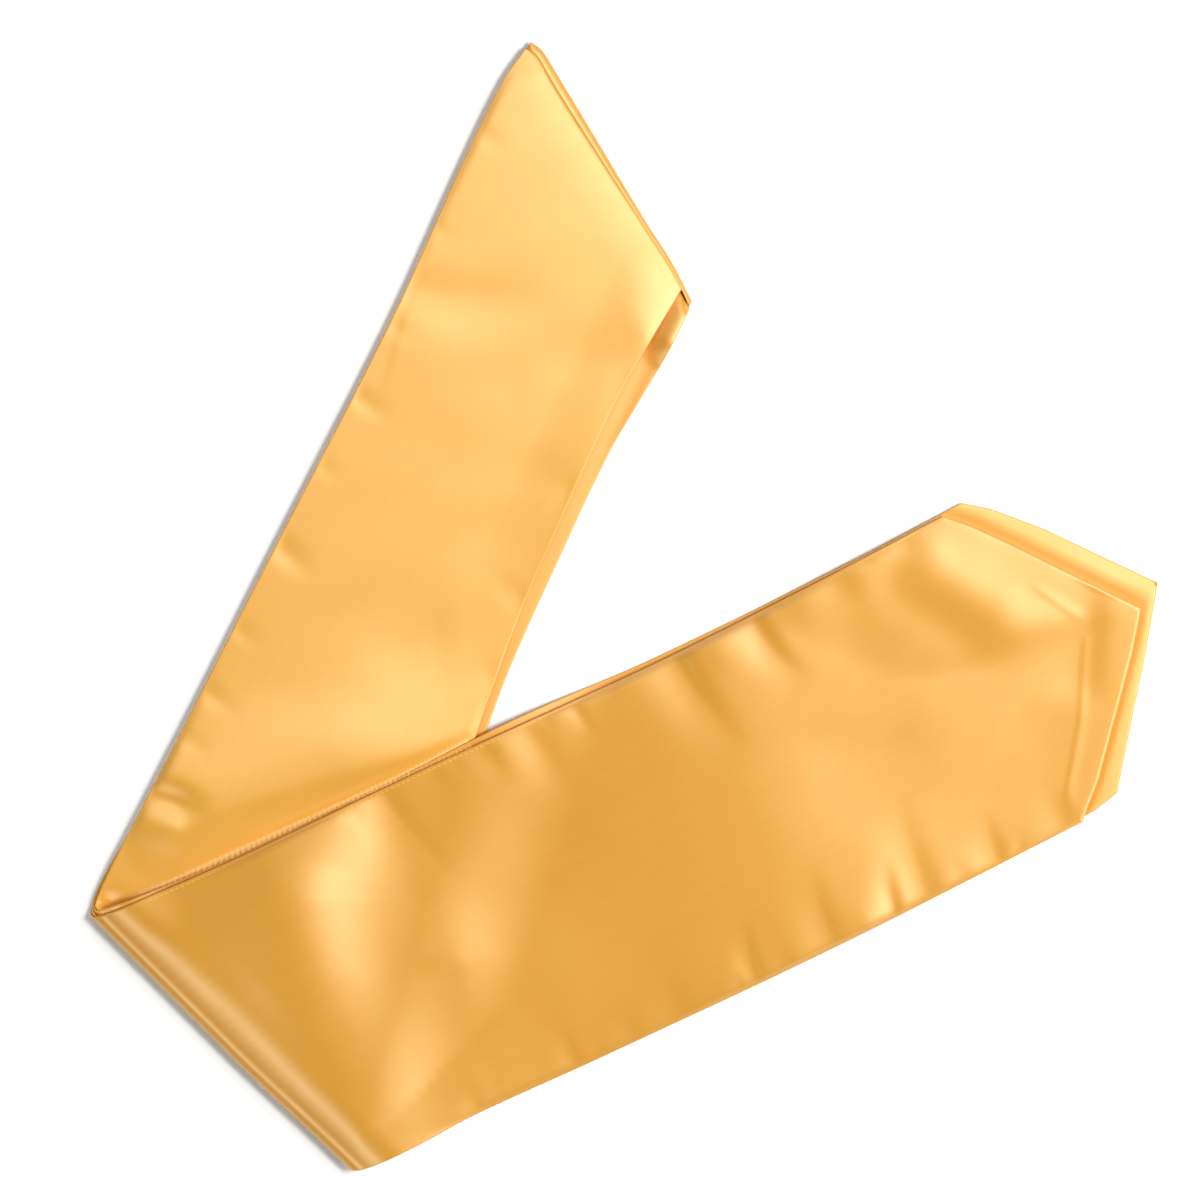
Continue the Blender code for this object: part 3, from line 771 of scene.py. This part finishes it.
def rightFace():
    cloth = rightFaceCloth
    shares = columnShares(cloth["columnStep"])
    rows = panelRows(right, faceStart, cloth["neckStep"], cloth["frontStep"])
    along, across = rowPoints(right, shares, faceStart, rows)
    inside = inset(right, along, across)
    shown = neckShown(along, across)
    front = inFront(right, along, across)
    soft = softened(inside, cloth["softWidth"])
    creaseShare = ramp(inside, 0, cloth["creaseStart"])
    pastSeam = (along - faceStart(across)) * seamCosine
    lift = rightForm(along, across)
    lift += cloth["seamRise"] * soft * shown * (1 - np.exp(-pastSeam / cloth["seamRiseReach"]))
    lift += shown * creaseShare * creased(neckCreases, along, across)
    lift += shown * soft * cloth["rippleHeight"] * ripple(along, across, **cloth["ripple"])
    lift += seamDip(pastSeam) + neckBulging(along, across)
    lift += front * creaseShare * creased(underFrontCreases, along, across)
    points = bend(along, across, rolled(right, rightFaceDepth, inside), lift, right.turn)
    return addSheet("stole_right_face", points, along, across, neckSatin, neckThreads)


rightLiningCloth = {"columnStep": 3.4, "neckStep": 4.0, "frontStep": 3.2}


def rightLining():
    cloth = rightLiningCloth
    shares = columnShares(cloth["columnStep"])
    rows = panelRows(right, innerStart, cloth["neckStep"], cloth["frontStep"])
    along, across = rowPoints(right, shares, innerStart, rows)
    inside = inset(right, along, across)
    lift = rightForm(along, across)
    lift += tipPressing(along, across) * inFront(right, along, across)
    points = bend(along, across, rolled(right, rightLiningDepth, inside), lift, right.turn)
    return addSheet("stole_right_lining", points, along, across, liningSatin, frontThreads)


leftLiningCloth = {"columnStep": 2.6, "neckStep": 2.4, "frontStep": 4.0}


def leftLining():
    cloth = leftLiningCloth
    shares = columnShares(cloth["columnStep"])
    rows = panelRows(left, innerStart, cloth["neckStep"], cloth["frontStep"])
    along, across = rowPoints(left, shares, innerStart, rows)
    inside = inset(left, along, across)
    lift = leftForm(along, across)
    points = bend(along, across, rolled(left, leftLiningDepth, inside), lift, left.turn)
    return addSheet("stole_left_lining", points, along, across, liningSatin, neckThreads)


# The left face wraps up round the neck seam and meets the right face on top
seamLip = {
    "steps": 18,
    "startAngles": (90, 88.5, 86, 83),
    "endLength": 2.5,
    "pinch": 0.6,
}


def lipRows(shares):
    steps = seamLip["steps"]
    turned = math.pi / 2 - math.pi * np.arange(1, steps) / steps
    angle = np.concatenate([np.radians(seamLip["startAngles"]), turned])[:, None]
    low = curveThrough(left.outer, 0)
    high = curveThrough(left.inner, 0)
    across = (low + (high - low) * shares)[None, :] + 0 * angle
    lip = curveThrough(lipWidth, across)
    reach = np.where(angle > 0, lip - skin, lipHeight / 2)
    inward = skin + reach * (1 - np.cos(angle))
    along = curveThrough(seamLine, across) + inward / seamCosine
    fromEnd = np.minimum(across - low, high - across) / seamLip["endLength"]
    pinched = 1 - seamLip["pinch"] * (1 - np.clip(fromEnd, 0, 1)) ** 2
    lift = lipHeight / 2 * (1 + np.sin(angle) * pinched) + np.where(angle > 0, seamDip(lip - inward), 0)
    return along, across, lift


leftFaceCloth = {
    "columnStep": 1.95,
    "neckStep": 3.6,
    "frontStep": 1.42,
    "softWidth": 20.0,
    "creaseStart": 3.0,
    "puff": 1.6,
    "puffStart": (10.0, 100.0),
    "puffAtTip": 0.4,
    "puffTipReach": 150.0,
    "rippleHeight": 0.35,
    "ripple": {"seed": 9, "count": 16, "shortest": 12, "longest": 70, "slant": 25},
    "tipRoll": 1.3,
    "tipRollReach": (1.0, 12.0),
    "seamReach": 12.0,
}

# The row of stitches along the left strap's outer edge, from and to a place along the strap
stitchRow = {
    "start": (462.0, 472.0),
    "end": (846.0, 858.0),
    "inset": 1.3,
    "pitch": 2.6,
    "length": 2.1,
    "width": 0.5,
    "height": 0.16,
    "groove": 0.3,
    "grooveWidth": 0.5,
    "rings": 7,
    "sides": 8,
    "endShare": 0.02,
    "sunk": 0.7,
}


# How far the left face stands off its plain folded form
def leftFaceLift(along, across):
    cloth = leftFaceCloth
    inside = inset(left, along, across)
    front = inFront(left, along, across)
    soft = softened(sideInset(left, along, across), cloth["softWidth"])
    creaseShare = ramp(inside, 0, cloth["creaseStart"])
    toTip = straightThrough(left.tip, across) - along
    past = foldPlane(along, across)[0] + noseRadius - left.turn
    tipShare = cloth["puffAtTip"] + (1 - cloth["puffAtTip"]) * ramp(toTip, 0, cloth["puffTipReach"])
    lift = leftForm(along, across)
    lift += cloth["puff"] * soft * ramp(past, *cloth["puffStart"]) * tipShare
    lift += front * creaseShare * creased(frontCreases, along, across)
    lift += front * soft * cloth["rippleHeight"] * ripple(along, across, **cloth["ripple"])
    lift += (1 - front) * creaseShare * creased(underNeckCreases, along, across)
    toStitches = across - curveThrough(left.outer, along) - stitchRow["inset"]
    stitched = ramp(along, *stitchRow["start"]) * (1 - ramp(along, *stitchRow["end"]))
    return lift - stitchRow["groove"] * stitched * np.exp(-((toStitches / stitchRow["grooveWidth"]) ** 2))


def leftFace():
    cloth = leftFaceCloth
    shares = columnShares(cloth["columnStep"])
    lipAlong, lipAcross, lipLift = lipRows(shares)
    lipPoints = bend(lipAlong, lipAcross, leftFaceDepth + 0 * lipAlong, lipLift, left.turn)
    rows = panelRows(left, innerStart, cloth["neckStep"], cloth["frontStep"])
    along, across = rowPoints(left, shares, innerStart, rows[1:])
    toTip = straightThrough(left.tip, across) - along
    roll = rimRoll + (cloth["tipRoll"] - rimRoll) * (1 - ramp(toTip, *cloth["tipRollReach"]))
    depth = rolled(left, leftFaceDepth, inset(left, along, across), roll)
    atSeam = ramp(along - innerStart(across), 0, cloth["seamReach"])
    depth = leftFaceDepth + (depth - leftFaceDepth) * atSeam
    lift = leftFaceLift(along, across)
    points = np.concatenate([lipPoints, bend(along, across, depth, lift, left.turn)])
    along = np.concatenate([lipAlong, along])
    across = np.concatenate([lipAcross, across])
    return addSheet("stole_left_face", points, along, across, frontSatinPaintedShade, frontThreads)


def edgeStitches():
    middles = np.arange(stitchRow["start"][1], stitchRow["end"][0], stitchRow["pitch"])
    steps = np.linspace(-1, 1, stitchRow["rings"])
    turns = np.arange(stitchRow["sides"]) * 2 * math.pi / stitchRow["sides"]
    body = np.sqrt(np.maximum(1 - steps ** 2, stitchRow["endShare"]))[None, :, None]
    along = middles[:, None, None] + stitchRow["length"] / 2 * steps[None, :, None] + 0 * turns
    outward = stitchRow["width"] / 2 * np.cos(turns) * body
    across = curveThrough(left.outer, along) + stitchRow["inset"] + outward
    depth = rolled(left, leftFaceDepth, inset(left, along, across))
    raised = stitchRow["height"] * (np.sin(turns) * body + body - stitchRow["sunk"])
    points = bend(along, across, depth, leftFaceLift(along, across) + skin + raised, left.turn)
    index = np.arange(along.size).reshape(along.shape)
    ahead = np.roll(index, -1, axis=2)
    sides = np.stack([index[:, :-1], ahead[:, :-1], ahead[:, 1:], index[:, 1:]], axis=-1).reshape(-1, 4)
    ends = np.concatenate([index[:, 0, ::-1], index[:, -1]])
    mesh = bpy.data.meshes.new("stole_edge_stitches")
    mesh.from_pydata((points.reshape(-1, 3) * mm).tolist(), [], sides.tolist() + ends.tolist())
    mesh.shade_smooth()
    mesh.materials.append(threadMaterial)
    stitches = bpy.data.objects.new("stole_edge_stitches", mesh)
    bpy.context.scene.collection.objects.link(stitches)
    return stitches


panels = {
    "right_strap_face": (rightFace(), "face_satin"),
    "right_strap_lining": (rightLining(), "lining_satin"),
    "left_strap_lining": (leftLining(), "lining_satin"),
    "left_strap_face": (leftFace(), "face_satin"),
}
for node, (sheet, slotName) in panels.items():
    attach(sheet, "root")
    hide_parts(node)
stitches = edgeStitches()
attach(stitches, "root")
print("panels made")

# A pale plain floor, a hair below the cloth
floorSet = {
    "half": 4.0,
    "level": -0.0002,
    "colour": (0.97, 0.97, 0.97, 1),
    "roughness": 0.9,
    "specular": 0.1,
}
half = floorSet["half"]
floorMesh = bpy.data.meshes.new("floor")
floorCorners = [(-half, -half, 0), (half, -half, 0), (half, half, 0), (-half, half, 0)]
floorMesh.from_pydata(floorCorners, [], [(0, 1, 2, 3)])
floor = bpy.data.objects.new("floor", floorMesh)
bpy.context.scene.collection.objects.link(floor)
floorMaterial, floorShader = newMaterial("floor_white")
floorShader.inputs["Base Color"].default_value = floorSet["colour"]
floorShader.inputs["Roughness"].default_value = floorSet["roughness"]
floorShader.inputs["Specular IOR Level"].default_value = floorSet["specular"]
floor.data.materials.append(floorMaterial)
floor.location.z = floorSet["level"]

# Lamps that look at the stole from an azimuth and an elevation in degrees, at a distance in metres
white = (1.0, 1.0, 1.0)
lamps = {
    "key": {
        "azimuth": 3, "elevation": 61, "distance": 2.4, "size": (0.7, 0.7), "power": 46,
        "colour": (1.0, 0.99, 0.97),
    },
    "right_fill": {
        "azimuth": 5, "elevation": 35, "distance": 2.4, "size": (1.4, 0.9), "power": 18, "colour": white,
    },
    "nose_light": {
        "azimuth": 225, "elevation": 42, "distance": 2.0, "size": (0.5, 0.5), "power": 10,
        "colour": (0.8, 0.93, 1.0),
    },
    "far_side": {
        "azimuth": 100, "elevation": 36, "distance": 2.0, "size": (1.2, 0.8), "power": 8, "colour": white,
    },
    "low_left": {
        "azimuth": 225, "elevation": 32, "distance": 2.0, "size": (1.6, 0.8), "power": 0.5,
        "colour": white,
    },
}
worldStrength = 0.1


def addSoftbox(name, azimuth, elevation, distance, size, power, colour):
    light = bpy.data.lights.new(name, "AREA")
    light.shape = "RECTANGLE"
    light.size, light.size_y = size
    light.energy = power
    light.color = colour
    box = bpy.data.objects.new(name, light)
    turn = math.radians(azimuth)
    rise = math.radians(elevation)
    way = Vector((math.cos(rise) * math.cos(turn), math.cos(rise) * math.sin(turn), math.sin(rise)))
    box.location = way * distance
    box.rotation_euler = (-way).to_track_quat("-Z", "Y").to_euler()
    bpy.context.scene.collection.objects.link(box)


for name, lamp in lamps.items():
    addSoftbox(name, **lamp)
world = bpy.data.worlds.new("studio")
world.use_nodes = True
world.node_tree.nodes["Background"].inputs["Color"].default_value = (*white, 1)
world.node_tree.nodes["Background"].inputs["Strength"].default_value = worldStrength
bpy.context.scene.world = world
bpy.context.scene.view_settings.view_transform = "Standard"

# Camera: straight above, as in the photograph, in metres
cameraSet = {
    "frameWidth": 0.54,
    "height": 3.0,
    "clothLevel": 0.005,
    "x": -0.01075,
    "y": 0.0027,
    "sensor": 36,
    "clipEnd": 20,
}
cameraData = bpy.data.cameras.new("camera")
camera = bpy.data.objects.new("camera", cameraData)
toCloth = cameraSet["height"] - cameraSet["clothLevel"]
cameraData.sensor_width = cameraSet["sensor"]
cameraData.lens = cameraSet["sensor"] * toCloth / cameraSet["frameWidth"]
cameraData.clip_end = cameraSet["clipEnd"]
camera.location = (cameraSet["x"], cameraSet["y"], cameraSet["height"])
bpy.context.scene.collection.objects.link(camera)
bpy.context.scene.camera = camera
print("floor, light and camera made")

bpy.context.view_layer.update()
